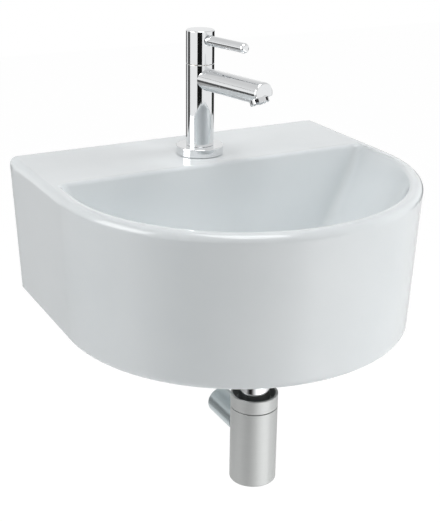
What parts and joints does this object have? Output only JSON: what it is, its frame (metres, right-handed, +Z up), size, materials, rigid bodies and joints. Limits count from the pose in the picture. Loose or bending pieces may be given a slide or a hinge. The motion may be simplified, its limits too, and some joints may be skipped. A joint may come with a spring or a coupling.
{
  "type": "wall hung basin",
  "caption": "D-shaped wall hung ceramic basin with a tap deck, a quarter-turn pillar tap, a grid waste and a chrome bottle trap.",
  "frame": {"origin": "on the wall plane, midway between the two fixing studs", "axes": "+X to the right seen from the room, +Y into the wall, +Z up; the basin stands out along -Y"},
  "size_m": [0.3994, 0.4197, 0.487],
  "materials": {
    "glazed_ceramic": "gloss glaze",
    "chrome": "polished",
    "satin_chrome": "satin chrome",
    "zinc_steel": "zinc plated",
    "brass": "machined",
    "rubber": "matt",
    "nylon": "moulded",
    "aerator_plastic": "moulded",
    "valve_ceramic": "lapped"
  },
  "bodies": {
    "root": {"basin": "glazed_ceramic", "hanger_bolts": "zinc_steel", "fixing_bushes": "nylon", "fixing_washers": "zinc_steel", "fixing_nuts": "zinc_steel", "waste_grid": "chrome", "waste_screw": "chrome", "waste_seal_top": "rubber", "waste_seal_under": "rubber", "waste_body": "chrome", "trap_inlet_nut": "chrome", "trap_inlet_seal": "rubber", "trap_inlet_tube": "chrome", "trap_collar": "satin_chrome", "trap_gland_seal": "rubber", "trap_body": "satin_chrome", "trap_base_plug": "satin_chrome", "trap_plug_seal": "rubber", "outlet_tube": "chrome", "tap_base_ring": "chrome", "tap_base_seal": "rubber", "tap_body": "chrome", "tap_tail": "brass", "spout": "chrome", "aerator_shell": "chrome", "aerator_insert": "aerator_plastic", "aerator_seal": "rubber", "deck_washer_rubber": "rubber", "deck_washer_steel": "zinc_steel", "tap_backnut": "brass", "cartridge_body": "brass", "cartridge_oring": "rubber", "seat_seal": "rubber", "disc_fixed": "valve_ceramic"},
    "handle": {"handle_head": "chrome", "lever_rod": "chrome", "grub_screw": "zinc_steel", "cartridge_spindle": "brass", "disc_turning": "valve_ceramic"}
  },
  "joints": [
    {"name": "lever_turn", "type": "hinge", "parent": "root", "child": "handle", "pos_m": [0, -0.075, 0.1724], "axis": [0, 0, 1], "range_deg": [0, 90]}
  ]
}
